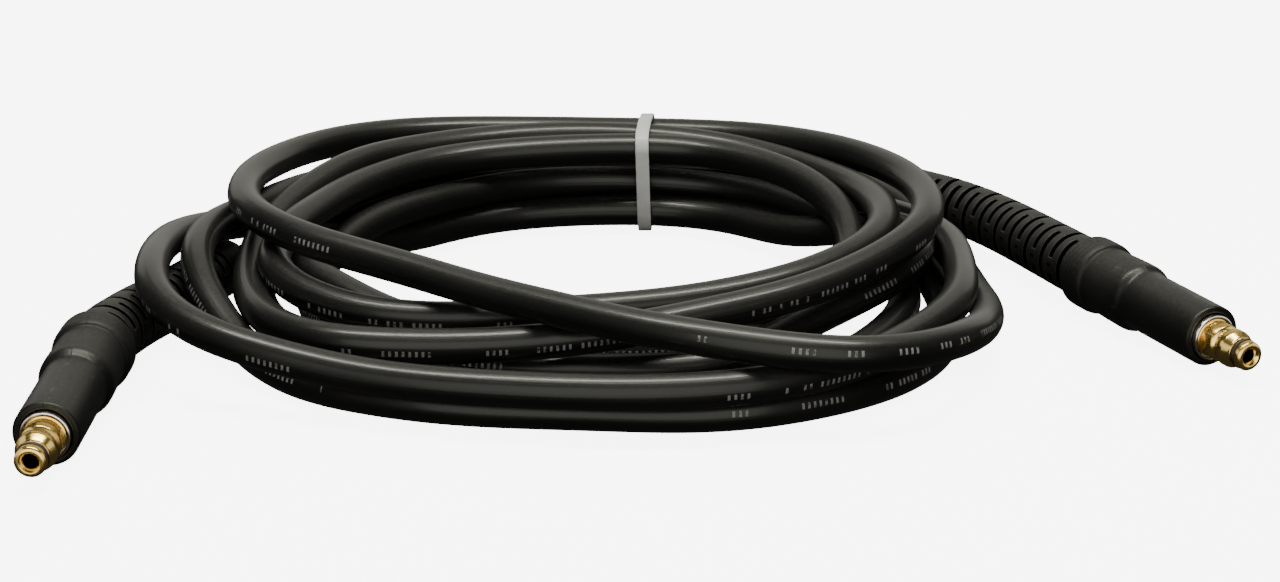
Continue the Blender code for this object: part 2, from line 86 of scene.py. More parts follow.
# Stations measured along a connector from its tip face
NIPPLE_SHOWN = 19.2 * MM
GRIP_START = 19.8 * MM
HOSE_START = 23.2 * MM
NIPPLE_LENGTH = 53.0 * MM
FERRULE_START = 18.4 * MM
FERRULE_END = 45.0 * MM
GRIP_END = 55.4 * MM
AXIS_STATION = 85.0 * MM
SLOT_START = 89.5 * MM
GUARD_END = 196.0 * MM
BORE_EASE = 0.6 * MM
WIDE_FROM = 53.4 * MM
WIDE_TO = 96.0 * MM
RIB_MARGIN = 0.5 * MM

# Radii of the connector pieces
GRIP_R = 9.9 * MM
BULGE_R = 12.4 * MM
RIB_R = 10.3 * MM
RIB_END_R = 9.5 * MM
FERRULE_R = 7.4 * MM
TIP_R = 4.75 * MM
SEAL_SEAT_R = 3.2 * MM
SEAL_WIRE_R = 0.72 * MM
SEAL_CENTRE = 3.55 * MM
BARREL_R = 6.1 * MM
NECK_R = 4.9 * MM
FLATS_R = 6.0 * MM
FLATS_HALF = 5.1 * MM
FLATS_MILL = (4.2 * MM, 6.0 * MM, 16.0 * MM)
FLATS_STATION = 15.4 * MM
FLANGE_R = 6.3 * MM
TAIL_R = 2.4 * MM
TAIL_BORE_R = 1.5 * MM
NIPPLE_BORE_R = 2.1 * MM
MOUTH_R = 3.0 * MM

# Slots of the kink guard and the rings on its bulge
FIRST_SLOT = SLOT_START + 2.4 * MM
SLOT_ROWS = 17
SLOT_PITCH = 5.5 * MM
SLOT_WIDTH = 2.2 * MM
SLOT_FLOOR_R = 7.1 * MM
SLOT_SWEEP = math.radians(146)
BULGE_RINGS = 4
RING_FIRST = 80.5 * MM
RING_PITCH = 1.9 * MM
RING_HALF = 0.62 * MM
RING_DEPTH = 0.21 * MM

# Cable tie
TIE_WIDTH = 4.8 * MM
TIE_THICK = 1.3 * MM
TIE_HEAD = (6.0 * MM, 4.6 * MM, 7.6 * MM)
TIE_X = -5.2 * MM
TIE_EASE = 1.004
TIE_LIFT = TIE_THICK + GAP + 0.3 * MM
TIE_REACH = 28.0 * MM
TIE_LEAN_BACK = 2.8 * MM
TIE_LEAN_FRONT = 1.2 * MM
TIE_HEAD_SHIFT = 1.8 * MM

# Printed ticks along the hose: pitch, share that is inked, ticks in a word, metres to the repeat
TICK_PITCH = 1.9 * MM
TICK_INKED = 0.42
WORD_TICKS = 4.0
PRINT_REPEAT = 0.41
PRINT_SHARE = 0.7
PRINT_HALF_TURN = 0.027
WRINKLE_PITCH = 1.7 * MM

# Camera and light: metres, watts, and emission strengths
CAMERA_PITCH = math.radians(17.0)
CAMERA_DISTANCE = 1.010
SENSOR_WIDTH = 36.0
CAMERA_LENS = 2950.0 / 1280.0 * SENSOR_WIDTH
FLOOR_GLOW = 6.5
WORLD_GLOW = 0.035
WARM_LIGHT = (1.0, 0.985, 0.88)
WHITE_LIGHT = (1.0, 1.0, 0.98)
LAMPS = (
    ("overhead", (0.0, 0.0, 1.3), (1.3, 0.2), 21.0, WHITE_LIGHT),
    ("front", (0.0, -2.0, 0.5), (3.2, 2.2), 30.0, WHITE_LIGHT),
    ("back", (0.2, 1.5, 1.3), (2.4, 1.1), 4.0, WARM_LIGHT),
    ("low back", (0.0, 1.6, 0.36), (2.6, 0.7), 4.2, WARM_LIGHT),
)
CARDS = (
    ("front card", (0.0, -1.15, 0.1), (2.2, 0.9), 8.5),
    ("left card", (-1.0, -0.2, 0.3), (1.4, 0.8), 4.0),
    ("right card", (1.0, -0.2, 0.3), (1.4, 0.8), 4.0),
)

# Connector axes: the point AXIS_STATION from the tip, and the direction towards the tip
AXES = {
    "left": ((-166.6, -108.3, 14.3), (-4.4, -99.7, -6.5)),
    "right": ((151.6, -23.2, 13.3), (43.8, -89.8, -5.1)),
}

# Where the centreline lies, in whole millimetres: one row for each turn, clockwise seen from above
ROUTE_ROWS = [
    [(-164, -88, 14), (-160, -71, 13), (-152, -53, 12), (-141, -28, 10), (-124, 16, 7), (-100, 50, 6),
     (-70, 74, 6), (-35, 89, 6), (0, 92, 6), (35, 87, 6), (66, 71, 9), (87, 43, 14), (98, 10, 17),
     (102, -20, 18), (101, -36, 18), (101, -53, 18), (99, -73, 18), (95, -83, 17), (89, -93, 16),
     (80, -105, 15), (66, -125, 14), (47, -138, 13), (29, -146, 13), (0, -150, 13), (-23, -148, 13),
     (-47, -144, 13), (-71, -138, 13), (-90, -131, 14), (-102, -128, 16), (-114, -122, 18),
     (-126, -119, 20), (-135, -113, 22), (-143, -104, 24), (-149, -92, 26), (-151, -79, 27),
     (-154, -56, 27), (-153, -31, 26), (-150, -7, 24)],
    [(-122, 42, 17), (-96, 72, 12), (-62, 93, 8), (-28, 103, 6), (0, 104, 6), (35, 101, 6),
     (68, 84, 6), (86, 56, 6), (92, 22, 6), (97, -16, 6), (98, -52, 6), (93, -84, 6), (80, -110, 6),
     (66, -124, 6), (41, -140, 6), (18, -146, 6), (0, -144, 6), (-24, -141, 6), (-53, -138, 6),
     (-78, -127, 6), (-104, -110, 7), (-125, -76, 12), (-132, -71, 17), (-138, -60, 21),
     (-142, -41, 22), (-143, -19, 22), (-140, 1, 21)],
    [(-118, 30, 21), (-94, 60, 20), (-62, 82, 18), (-28, 93, 18), (0, 94, 18), (35, 91, 18),
     (66, 78, 18), (91, 52, 14), (103, 22, 8), (109, -8, 6), (109, -32, 8), (111, -48, 10),
     (109, -70, 13), (106, -90, 16), (101, -108, 19), (94, -119, 20), (83, -133, 22), (71, -141, 23),
     (59, -145, 24), (47, -146, 25), (35, -144, 26), (18, -138, 27), (0, -131, 27), (-12, -122, 27),
     (-30, -112, 28), (-49, -99, 28), (-62, -90, 29), (-75, -80, 30), (-95, -69, 31), (-109, -59, 32),
     (-125, -36, 32), (-130, -23, 33), (-133, -8, 33), (-134, 10, 33), (-131, 26, 33), (-126, 48, 32),
     (-113, 75, 31)],
    [(-89, 96, 30), (-52, 108, 28), (-15, 106, 28), (22, 98, 29), (44, 88, 30), (72, 63, 32),
     (88, 35, 33), (95, 13, 33), (96, -15, 33), (92, -34, 32), (86, -49, 31), (77, -58, 29),
     (63, -72, 26), (47, -84, 24), (25, -94, 22), (6, -101, 20), (-12, -109, 19), (-27, -112, 18),
     (-43, -114, 17), (-73, -117, 17), (-91, -115, 17), (-104, -108, 16), (-115, -91, 15),
     (-123, -69, 14), (-127, -46, 13)],
    [(-126, -8, 17), (-118, 18, 21), (-106, 40, 25), (-78, 68, 28), (-40, 87, 30), (0, 92, 30),
     (35, 88, 28), (58, 68, 26), (73, 41, 26), (82, 3, 27), (78, -26, 26), (65, -47, 24),
     (51, -59, 22), (32, -69, 20), (19, -74, 19), (3, -79, 18), (-25, -83, 17), (-50, -89, 17),
     (-72, -90, 17), (-88, -85, 17), (-101, -77, 18), (-113, -71, 20), (-121, -59, 22),
     (-125, -43, 23)],
    [(-119, -5, 23), (-114, 11, 25), (-105, 37, 27), (-86, 60, 28), (-51, 72, 29), (0, 80, 29),
     (22, 76, 29), (43, 61, 29), (60, 45, 27), (72, 24, 23), (75, 4, 17), (72, -14, 12), (62, -38, 8),
     (48, -58, 6), (28, -74, 6), (0, -88, 6), (-40, -84, 6), (-85, -64, 6), (-112, -36, 10),
     (-122, -10, 14)],
    [(-116, 14, 12), (-100, 30, 8), (-91, 31, 6), (-82, 42, 6), (-65, 61, 6), (-41, 73, 6), (0, 77, 6),
     (36, 66, 6), (60, 34, 8), (82, 28, 13), (98, 6, 18), (97, -20, 19), (91, -38, 18), (83, -50, 17),
     (75, -58, 16), (68, -60, 13), (58, -70, 12), (51, -74, 10), (41, -81, 8), (30, -98, 6),
     (0, -103, 6), (-40, -101, 6), (-78, -84, 6), (-112, -34, 6), (-115, -15, 10)],
    [(-110, 8, 16), (-101, 20, 18), (-85, 42, 18), (-58, 68, 18), (-29, 81, 18), (0, 84, 18),
     (29, 78, 18), (54, 60, 18), (74, 38, 14), (85, 8, 8), (90, -22, 6), (83, -54, 6), (66, -88, 6),
     (40, -116, 6), (0, -124, 6), (-45, -120, 6), (-85, -101, 6), (-115, -70, 8), (-131, -40, 11),
     (-134, -8, 14)],
    [(-126, 24, 19), (-106, 58, 22), (-72, 88, 21), (-30, 104, 18), (0, 106, 18), (35, 104, 17),
     (70, 90, 16), (92, 77, 15), (110, 60, 15), (119, 50, 14), (130, 28, 14), (138, 8, 14)],
]

# How far each turn gives way to the others where they would touch
ROUTE_GIVE = (0.5, 1.0, 0.3, 0.3, 0.4, 1.0, 0.4, 1.0, 1.0)


# ---------------- the line of the hose

def axis_point(bulge, aim, station):
    """Point on a connector's straight axis, station metres from its tip face."""
    aim = np.array(aim) / np.linalg.norm(aim)
    return np.array(bulge) * MM + np.array(FRAME_SHIFT) + aim * (AXIS_STATION - station)


def spline(points, step):
    """Centripetal curve through the points, at even steps."""
    p = np.asarray(points, float)
    p = np.vstack([2 * p[0] - p[1], p, 2 * p[-1] - p[-2]])
    pieces = []
    for p0, p1, p2, p3 in zip(p, p[1:], p[2:], p[3:]):
        k0, k1, k2 = (np.linalg.norm(b - a) ** 0.5 for a, b in ((p0, p1), (p1, p2), (p2, p3)))
        t1, t2, t3 = k0, k0 + k1, k0 + k1 + k2
        t = np.linspace(t1, t2, 40, endpoint=False)[:, None]
        a1 = ((t1 - t) * p0 + t * p1) / t1
        a2 = ((t2 - t) * p1 + (t - t1) * p2) / (t2 - t1)
        a3 = ((t3 - t) * p2 + (t - t2) * p3) / (t3 - t2)
        b1 = ((t2 - t) * a1 + t * a2) / t2
        b2 = ((t3 - t) * a2 + (t - t1) * a3) / (t3 - t1)
        pieces.append(((t2 - t) * b1 + (t - t1) * b2) / (t2 - t1))
    return resample(np.vstack(pieces + [p[-2][None]]), step)


def resample(line, step):
    """The same line with its points at even steps."""
    along = arc_length(line)
    even = np.linspace(0, along[-1], int(round(along[-1] / step)) + 1)
    return np.stack([np.interp(even, along, line[:, k]) for k in range(3)], -1)


def arc_length(line):
    """Distance of each point from the start, along the line."""
    return np.concatenate([[0], np.cumsum(np.linalg.norm(np.diff(line, axis=0), axis=1))])


def blur(values, passes):
    """Three-point averages along the line, ends held."""
    for _ in range(passes):
        inner = (values[:-2] + 2 * values[1:-1] + values[2:]) / 4
        values = np.vstack([values[:1], inner, values[-1:]])
    return values


def ease_apart(line, radius, give):
    """Moves the turns off each other and off the floor until they clear, and keeps each one smooth."""
    base = line.copy()
    widest = np.max([np.roll(radius, k) for k in range(-2, 3)], axis=0)
    floor = np.maximum(radius, blur(widest[:, None], FAIRING_ROUNDS)[:, 0]) + FLOOR_CLEARANCE
    floor[:HELD_POINTS - 4] = floor[4 - HELD_POINTS:] = 0
    apart = int(SAME_STRAND / LAY_STEP)
    free = np.ones((len(line), 1))
    free[:HELD_POINTS] = free[-HELD_POINTS:] = 0
    free = blur(free, 6)
    for turn in range(LAY_ROUNDS):
        if turn % 6 == 0:
            near = ((line[:, None] - line[None]) ** 2).sum(-1) < (2 * radius.max() + 4 * MM) ** 2
            i, j = np.where(np.triu(near, apart))
        between = line[i] - line[j]
        distance = np.sqrt((between ** 2).sum(-1)) + 1e-12
        over = np.maximum(0, radius[i] + radius[j] + LAY_CLEARANCE - distance)
        push = between * (over / distance / (give[i] + give[j]))[:, None]
        total = np.zeros_like(line)
        count = np.zeros(len(line))
        np.add.at(total, i, push * give[i, None])
        np.add.at(total, j, -push * give[j, None])
        np.add.at(count, i, over > 0)
        np.add.at(count, j, over > 0)
        move = total / np.maximum(1, count)[:, None] ** 0.6
        shift = line + blur(move, 6) * 1.5 * free - base
        if turn < LAY_ROUNDS * 0.75:
            shift = blur(shift, 2) * 0.998 * free
        line = base + shift
        at_tie = np.exp(-((line[:, 0] - TIE_X) / TIE_REACH) ** 2) * (line[:, 1] > FRAME_SHIFT[1])
        line[:, 2] = np.maximum(line[:, 2], floor + TIE_LIFT * at_tie)
    return line


def guard_radius(station, hose_d):
    """Outside radius of the kink guard, or of the bare hose, at a distance from the tip face."""
    rib = RIB_R + RIB_MARGIN + (RIB_END_R - RIB_R) * (station - WIDE_TO) / (GUARD_END - WIDE_TO)
    outside = np.where(station < WIDE_FROM, GRIP_R, np.where(station < WIDE_TO, BULGE_R, rib))
    return np.where(station < GUARD_END, outside, hose_d / 2)


def hose_centreline(hose_d):
    """Even points along the hose from its left end to its right end."""
    shift = np.array(FRAME_SHIFT)
    straight = [HOSE_START + k * (AXIS_STATION - HOSE_START) / 4 for k in range(5)]
    stations = [axis_point(*AXES["left"], s) for s in straight]
    stations += [np.array(p) * MM + shift for row in ROUTE_ROWS for p in row]
    stations += [axis_point(*AXES["right"], s) for s in reversed(straight)]
    ease = [1.0] * 5 + [g for row, g in zip(ROUTE_ROWS, ROUTE_GIVE) for _ in row] + [1.0] * 5
    chord = arc_length(np.array(stations))
    line = spline(stations, LAY_STEP)
    low = blur(line, FAIRING_ROUNDS)
    line = 2 * low - blur(low, FAIRING_ROUNDS)
    along = arc_length(line)
    for reach, side in ((along, "left"), (along[-1] - along, "right")):
        station = reach + HOSE_START
        on_axis = np.array([axis_point(*AXES[side], s) for s in station])
        bent = np.clip((station - AXIS_STATION + STRAIGHT_END) / BEND_BLEND, 0, 1)[:, None]
        bent = bent * bent * (3 - 2 * bent)
        line = bent * line + (1 - bent) * on_axis
    along = arc_length(line)
    radius = np.maximum(guard_radius(along + HOSE_START, hose_d),
                        guard_radius(along[-1] - along + HOSE_START, hose_d))
    give = np.interp(along / along[-1], chord / chord[-1], ease)
    return ease_apart(line, radius, give)


def sparse(line):
    """The points that the CAD hose keeps."""
    ends = int(GUARD_END / LAY_STEP)
    keep = list(range(ends)) + list(range(ends, len(line) - ends, LOOP_STRIDE))
    return line[keep + list(range(len(line) - ends, len(line)))]


def rib_radius(station):
    """Outside radius of the slotted part of a guard, which narrows towards its end."""
    return RIB_R + (RIB_END_R - RIB_R) * (station - SLOT_START) / (GUARD_END - SLOT_START)


def guard_path(line, side):
    """Guide from the tip face along the connector's axis and on along the hose."""
    start = [axis_point(*AXES[side], HOSE_START * k / 4) for k in range(4)]
    return resample(np.vstack([start, line[:int(1.2 * GUARD_END / LAY_STEP)]]), 4 * MM)


# ---------------- modelling by hand

def deselect():
    bpy.ops.object.select_all(action="DESELECT")


def choose(obj):
    deselect()
    obj.select_set(True)
    bpy.context.view_layer.objects.active = obj


def place_on_axis(obj, side):
    """Moves a piece modelled about X, with its tip face at 0, to its connector's axis."""
    bulge, aim = AXES[side]
    back = -Vector(aim).normalized()
    across = Vector((0, 0, 1)).cross(back).normalized()
    up = back.cross(across)
    turn = Matrix((back, across, up)).transposed().to_4x4()
    obj.matrix_world = Matrix.Translation(Vector(axis_point(bulge, aim, 0))) @ turn
    choose(obj)
    bpy.ops.object.transform_apply()


def turn_rings(name, profile, segments):
    """A closed turned piece: a circle about X, extruded and resized from ring to ring."""
    deselect()
    station, radius = profile[0]
    bpy.ops.mesh.primitive_circle_add(vertices=segments, radius=radius, location=(station, 0, 0),
                                      rotation=(0, math.pi / 2, 0))
    obj = bpy.context.object
    obj.name = obj.data.name = name
    bpy.ops.object.transform_apply()
    bpy.context.tool_settings.mesh_select_mode = (True, False, False)
    bpy.ops.object.mode_set(mode="EDIT")
    bpy.ops.mesh.select_all(action="SELECT")
    for (a, r), (b, s) in zip(profile, profile[1:] + profile[:1]):
        bpy.ops.mesh.extrude_region_move(TRANSFORM_OT_translate={"value": (b - a, 0, 0)})
        if abs(s - r) > 1e-7:
            bpy.ops.transform.resize(value=(1, s / r, s / r), center_override=(b, 0, 0))
    bpy.ops.mesh.select_all(action="SELECT")
    bpy.ops.mesh.remove_doubles(threshold=0.00001)
    bpy.ops.mesh.normals_make_consistent(inside=False)
    bpy.ops.object.mode_set(mode="OBJECT")
    return obj


def wrap_map(obj):
    """UV map of a piece about X: metres along the axis, and the turn round it from 0 to 1."""
    mesh = obj.data
    layer = mesh.uv_layers.new(name="along") if not mesh.uv_layers else mesh.uv_layers[0]
    layer.name = "along"
    spots = [v.co.copy() for v in mesh.vertices]
    for face in mesh.polygons:
        middle = math.atan2(face.center.z, face.center.y) / math.tau
        for corner in face.loop_indices:
            spot = spots[mesh.loops[corner].vertex_index]
            turn = math.atan2(spot.z, spot.y) / math.tau
            turn += round(middle - turn)
            layer.data[corner].uv = (spot.x, turn % 1.0 if abs(middle) < 0.45 and turn > 0 else turn + 1)
    return obj


def apply_all(obj):
    choose(obj)
    for modifier in list(obj.modifiers):
        bpy.ops.object.modifier_apply(modifier=modifier.name)


def soften(obj, width, steps, angle):
    bevel = obj.modifiers.new("soft edges", "BEVEL")
    bevel.width = width
    bevel.segments = steps
    bevel.limit_method = "ANGLE"
    bevel.angle_limit = math.radians(angle)


def smooth(obj, angle):
    choose(obj)
    bpy.ops.object.shade_smooth_by_angle(angle=math.radians(angle))


def pick_faces(obj, wanted):
    """Selects the faces for which wanted(face) is true, and goes into edit mode on them."""
    for face in obj.data.polygons:
        face.select = wanted(face)
    for item in list(obj.data.edges) + list(obj.data.vertices):
        item.select = False
    choose(obj)
    bpy.context.tool_settings.mesh_select_mode = (False, False, True)
    bpy.ops.object.mode_set(mode="EDIT")


def stepped(rows):
    """Profile points from rows of a station and a radius, each with an offset in millimetres."""
    return [(x + dx * MM, r + dr * MM) for x, dx, r, dr in rows]


# ---------------- node groups and materials

def new_group(name, inputs, outputs):
    """A node group with a vector input, and others of which the defaults are given."""
    group = bpy.data.node_groups.new(name, "ShaderNodeTree")
    group.interface.new_socket(name="Vector", in_out="INPUT", socket_type="NodeSocketVector")
    for label, value in inputs.items():
        kind = "Float" if isinstance(value, float) else "Vector"
        socket = group.interface.new_socket(name=label, in_out="INPUT", socket_type="NodeSocket" + kind)
        socket.default_value = value
    for label in outputs:
        group.interface.new_socket(name=label, in_out="OUTPUT", socket_type="NodeSocketFloat")
    return group, group.nodes.new("NodeGroupInput").outputs, group.nodes.new("NodeGroupOutput")


def set_inputs(tree, node, values):
    """Feeds inputs from (input, value or output) pairs."""
    for key, value in values:
        if isinstance(value, bpy.types.NodeSocket):
            tree.links.new(value, node.inputs[key])
        else:
            node.inputs[key].default_value = value


def add_node(tree, kind, values=(), **settings):
    node = tree.nodes.new("ShaderNode" + kind)
    for key, value in settings.items():
        setattr(node, key, value)
    set_inputs(tree, node, values)
    return node


def calc(tree, operation, a, b=0.0):
    return add_node(tree, "Math", ((0, a), (1, b)), operation=operation).outputs[0]


def times(tree, first, *others):
    for other in others:
        first = calc(tree, "MULTIPLY", first, other)
    return first


def weighted(tree, start, *terms):
    """The start value plus each output times its weight."""
    for output, weight in terms:
        start = calc(tree, "ADD", start, times(tree, output, weight))
    return start


def mix_colour(tree, factor, a, b):
    """A mix of two colours, each an output or three numbers."""
    node = add_node(tree, "Mix", (("Factor", factor),), data_type="RGBA")
    places = [index for index, socket in enumerate(node.inputs) if socket.type == "RGBA"]
    for place, value in zip(places, (a, b)):
        set_inputs(tree, node, ((place, value if isinstance(value, bpy.types.NodeSocket) else (*value, 1)),))
    return [socket for socket in node.outputs if socket.type == "RGBA"][0]


def toned(colour, gains):
    return tuple(value * gain for value, gain in zip(colour, gains))


def ramp(tree, value, low, high):
    """Zero at low, one at high, and even between them."""
    return add_node(tree, "MapRange", (("Value", value), ("From Min", low), ("From Max", high))).outputs[0]


def noise(tree, place, scale, detail=2.0, distortion=0.0):
    return add_node(tree, "TexNoise", (("Vector", place), ("Scale", scale), ("Detail", detail),
                                       ("Distortion", distortion))).outputs["Fac"]


def stretched(tree, place, factors):
    return add_node(tree, "VectorMath", ((0, place), (1, factors)), operation="MULTIPLY").outputs[0]


def mottle_group():
    """Cloudy variation and fine grain of a moulded or extruded surface."""
    group, start, end = new_group("surface mottle", {"Cloud Scale": 30.0, "Grain Scale": 2500.0},
                                  ("Cloud", "Grain"))
    set_inputs(group, end, (("Cloud", noise(group, start["Vector"], start["Cloud Scale"], 4.0)),
                            ("Grain", noise(group, start["Vector"], start["Grain Scale"]))))
    return group


def scuff_group():
    """Mask of thin short scuffs that lie in patches."""
    group, start, end = new_group("light scuffs", {"Stretch": (1, 1, 1), "Amount": 0.5}, ("Mask",))
    lines = noise(group, stretched(group, start["Vector"], start["Stretch"]), 1.0, 3.0, 0.4)
    patch = noise(group, start["Vector"], 22.0)
    mask = times(group, ramp(group, lines, 0.62, 0.72), ramp(group, patch, 0.52, 0.66), start["Amount"])
    set_inputs(group, end, (("Mask", mask),))
    return group


def dust_and_sheen_group():
    """Mask of thin dust specks and painted sheen on what faces up: faces turned upwards are lightened as if
    lit from above.
    """
    group, start, end = new_group("dust_and_painted_sheen", {"Amount": 0.5}, ("Mask",))
    up = add_node(group, "SeparateXYZ", ((0, add_node(group, "TexCoord").outputs["Normal"]),)).outputs["Z"]
    specks = noise(group, start["Vector"], 900.0, 3.0)
    mask = times(group, ramp(group, up, 0.25, 1.0), ramp(group, specks, 0.3, 0.75), start["Amount"])
    set_inputs(group, end, (("Mask", mask),))
    return group


GROUPS = {"surface mottle": mottle_group, "light scuffs": scuff_group, "dust_and_painted_sheen": dust_and_sheen_group}


def group_node(tree, name, values):
    """Outputs of a node of a shared group, which is made at its first use."""
    node = tree.nodes.new("ShaderNodeGroup")
    node.node_tree = bpy.data.node_groups.get(name) or GROUPS[name]()
    set_inputs(tree, node, values)
    return node.outputs


def mottle(tree, place, cloud, grain):
    found = group_node(tree, "surface mottle",
                       (("Vector", place), ("Cloud Scale", cloud), ("Grain Scale", grain)))
    return found["Cloud"], found["Grain"]


def scuffs(tree, spread, stretch, amount):
    values = (("Vector", spread), ("Stretch", stretch), ("Amount", amount))
    return group_node(tree, "light scuffs", values)["Mask"]


# Dust specks with painted sheen on the upward faces
def dust_and_sheen(tree, place, amount):
    return group_node(tree, "dust_and_painted_sheen", (("Vector", place), ("Amount", amount)))["Mask"]


def emboss(tree, height, strength, depth):
    return add_node(tree, "Bump", (("Height", height), ("Strength", strength),
                                   ("Distance", depth))).outputs["Normal"]


def new_material(name):
    made = bpy.data.materials.new(name)
    made.use_nodes = True
    return made, made.node_tree, made.node_tree.nodes["Principled BSDF"]


def object_place(tree):
    return add_node(tree, "TexCoord").outputs["Object"]


def unwrapped(tree):
    """The "along" map: the vector, the metres along the piece and the turn round it."""
    spread = add_node(tree, "UVMap", uv_map="along").outputs["UV"]
    parts = add_node(tree, "SeparateXYZ", ((0, spread),)).outputs
    return spread, parts["X"], parts["Y"]


def print_marks(tree, along, turn):
    """Mask of plain ticks in word-like clusters along one line of the hose, with no lettering in them."""
    cell = calc(tree, "DIVIDE", along, TICK_PITCH)
    column = calc(tree, "FLOOR", cell)
    word = calc(tree, "FLOOR", calc(tree, "DIVIDE", column, WORD_TICKS))
    kept = []
    for value, least in ((word, 0.36), (times(tree, column, 1.37), 0.14)):
        chance = add_node(tree, "TexWhiteNoise", (("W", value),), noise_dimensions="1D").outputs["Value"]
        kept.append(calc(tree, "GREATER_THAN", chance, least))
    off_line = calc(tree, "SUBTRACT", calc(tree, "FRACT", turn), 0.5)
    in_band = calc(tree, "LESS_THAN", calc(tree, "ABSOLUTE", off_line), PRINT_HALF_TURN)
    repeat = calc(tree, "FRACT", calc(tree, "DIVIDE", along, PRINT_REPEAT))
    in_text = calc(tree, "LESS_THAN", repeat, PRINT_SHARE)
    stroke = calc(tree, "LESS_THAN", calc(tree, "FRACT", cell), TICK_INKED)
    return times(tree, stroke, *kept, in_band, in_text)


def crinkle(tree, along, place):
    """Height of the fine cross wrinkles of the cover on its tightest bend."""
    near = np.linalg.norm(LINE - CRINKLED, axis=1).argmin()
    middle = float(arc_length(LINE)[near])
    off = calc(tree, "ABSOLUTE", calc(tree, "SUBTRACT", along, middle))
    wave = calc(tree, "SINE", times(tree, along, math.tau / WRINKLE_PITCH))
    uneven = ramp(tree, noise(tree, place, 300.0), 0.35, 0.6)
    return times(tree, wave, uneven, ramp(tree, off, 12 * MM, 5 * MM))


def hose_material(colour, print_colour):
    made, tree, shader = new_material("hose rubber")
    place = object_place(tree)
    spread, along, turn = unwrapped(tree)
    cloud, grain = mottle(tree, place, 26.0, 3200.0)
    # Dust specks and painted sheen: the upward faces of the hose are lightened as if lit from above
    dust_sheen = dust_and_sheen(tree, place, 0.2)
    marks = times(tree, print_marks(tree, along, turn), ramp(tree, noise(tree, place, 700.0, 3.0), 0.28, 0.5))
    base = mix_colour(tree, ramp(tree, cloud, 0.35, 0.7), colour, toned(colour, (1.7, 1.7, 1.5)))
    # Painted sheen with dust: olive grey mixed into the upward faces
    base = mix_colour(tree, dust_sheen, base, (0.085, 0.085, 0.074))
    worn = scuffs(tree, spread, (60.0, 30.0, 1.0), 0.5)
    base = mix_colour(tree, times(tree, worn, 0.5), base, (0.07, 0.07, 0.065))
    base = mix_colour(tree, marks, base, print_colour)
    rough = weighted(tree, 0.33, (cloud, 0.16), (dust_sheen, 0.12), (marks, 0.2))
    drawn = noise(tree, stretched(tree, spread, (5.0, 34.0, 1.0)), 1.0, 4.0)
    height = weighted(tree, 0.0, (drawn, 0.9), (grain, 0.1), (crinkle(tree, along, place), 1.0))
    set_inputs(tree, shader, (("Base Color", base), ("Roughness", rough),
                              ("Normal", emboss(tree, height, 0.45, 0.22 * MM)),
                              ("Specular IOR Level", 0.5), ("Specular Tint", (1.0, 0.99, 0.86, 1)),
                              ("Coat Weight", 0.25), ("Coat Roughness", 0.15)))
    return made


def slot_shade_mask(tree, along, turn):
    """Mask of the walls and floors of the slots, where shade is painted into the colour because they get no
    light from outside.
    """
    cell = calc(tree, "DIVIDE", calc(tree, "SUBTRACT", along, FIRST_SLOT), SLOT_PITCH)
    row = calc(tree, "FLOOR", calc(tree, "ADD", cell, 0.5))
    off_row = calc(tree, "ABSOLUTE", calc(tree, "SUBTRACT", cell, row))
    across = calc(tree, "LESS_THAN", off_row, (SLOT_WIDTH / 2 + 0.02 * MM) / SLOT_PITCH)
    quarter = times(tree, calc(tree, "FLOORED_MODULO", row, 2.0), 0.25)
    halves = times(tree, calc(tree, "SUBTRACT", turn, quarter), 2.0)
    off_half = calc(tree, "SUBTRACT", calc(tree, "FRACT", calc(tree, "ADD", halves, 0.5)), 0.5)
    inside = calc(tree, "LESS_THAN", calc(tree, "ABSOLUTE", off_half), SLOT_SWEEP / math.tau)
    known = times(tree, calc(tree, "GREATER_THAN", row, -0.5),
                  calc(tree, "LESS_THAN", row, SLOT_ROWS - 0.5))
    return times(tree, across, inside, known)


def guard_material(colour):
    made, tree, shader = new_material("kink guard rubber")
    place = object_place(tree)
    spread, along, turn = unwrapped(tree)
    cloud, grain = mottle(tree, place, 60.0, 2600.0)
    # Painted shade: mask of the slot walls and floors
    deep = slot_shade_mask(tree, along, turn)
    base = mix_colour(tree, ramp(tree, cloud, 0.3, 0.75), colour, toned(colour, (1.6, 1.6, 1.45)))
    # Dust and painted sheen: the upward faces of the guard are lightened to olive grey as if lit from above
    base = mix_colour(tree, dust_and_sheen(tree, place, 0.22), base, (0.1, 0.1, 0.086))
    base = mix_colour(tree, scuffs(tree, spread, (240.0, 26.0, 1.0), 0.35), base, (0.13, 0.13, 0.12))
    # Painted shade: slot walls and floors coloured near black here, and their specular level lowered below
    base = mix_colour(tree, deep, base, (0.0006, 0.0006, 0.0006))
    grip = ramp(tree, along, GRIP_END + 8 * MM, GRIP_END + 2 * MM)
    halves = calc(tree, "FRACT", times(tree, turn, 2.0))
    seam = ramp(tree, calc(tree, "ABSOLUTE", calc(tree, "SUBTRACT", halves, 0.5)), 0.008, 0.0)
    height = weighted(tree, 0.0, (grain, 0.35), (seam, 0.6))
    set_inputs(tree, shader, (("Base Color", base),
                              ("Roughness", weighted(tree, 0.5, (grip, -0.14), (cloud, 0.1))),
                              ("Specular IOR Level", weighted(tree, 0.5, (deep, -0.46))),
                              ("Specular Tint", (1.0, 0.99, 0.84, 1)),
                              ("Normal", emboss(tree, height, 0.5, 0.2 * MM))))
    return made


